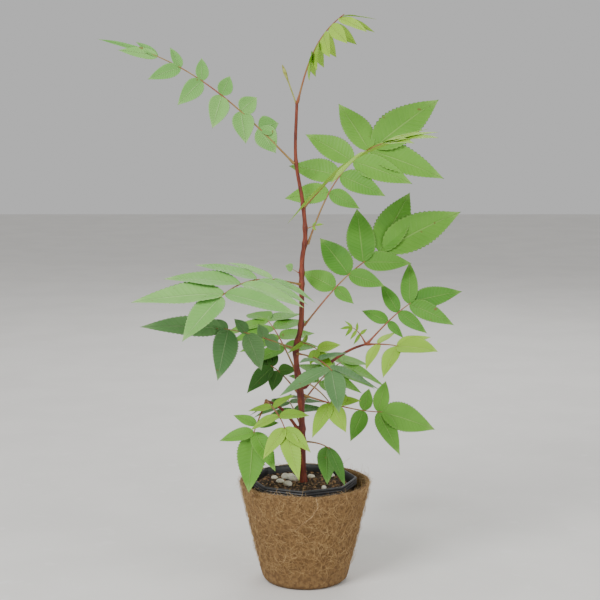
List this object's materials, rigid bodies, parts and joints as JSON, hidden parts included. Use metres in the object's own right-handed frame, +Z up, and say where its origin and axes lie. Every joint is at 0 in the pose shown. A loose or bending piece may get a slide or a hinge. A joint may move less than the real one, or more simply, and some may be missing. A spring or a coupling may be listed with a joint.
{
  "type": "potted sapling",
  "caption": "Young Japanese wingnut with pinnate leaves, in a plastic nursery pot standing in a coir fibre pot.",
  "frame": {"origin": "centre of the pot's flat underside", "axes": "+Z up, and seen from the front +X to the right and +Y away"},
  "size_m": [0.3464, 0.2728, 0.5458],
  "materials": {
    "coir": "rough pressed fibre",
    "black_plastic": "satin",
    "potting_mix": "rough, granular",
    "bark": "smooth young bark",
    "bud": "downy",
    "lime": "matte leaf",
    "pale": "matte leaf",
    "mid": "matte leaf",
    "dark": "matte leaf",
    "grey": "matte leaf"
  },
  "bodies": {
    "root": {"coir_pot": "coir", "nursery_pot": "black_plastic", "potting_mix": "potting_mix", "main_stem": "bark", "right_bough": "bark", "lower_left_bough": "bark", "terminal_bud": "bud", "top_leaf": "lime", "upper_left_leaf": "pale", "front_right_leaf": "lime", "upper_right_leaf": "mid", "middle_right_leaf": "mid", "right_leaf": "mid", "right_front_leaf": "lime", "right_young_leaf": "lime", "big_left_leaf": "pale", "left_leaf": "grey", "left_dark_leaf": "dark", "centre_leaf": "grey", "centre_young_leaf": "lime", "lower_right_leaf": "mid", "lower_right_young_leaf": "lime", "lower_front_right_leaf": "dark", "lower_left_leaf": "mid", "lower_front_left_leaf": "lime", "tiny_young_leaf": "lime", "small_round_leaf": "pale", "back_left_leaf": "mid", "back_right_leaf": "mid", "low_back_leaf": "dark"}
  },
  "joints": []
}
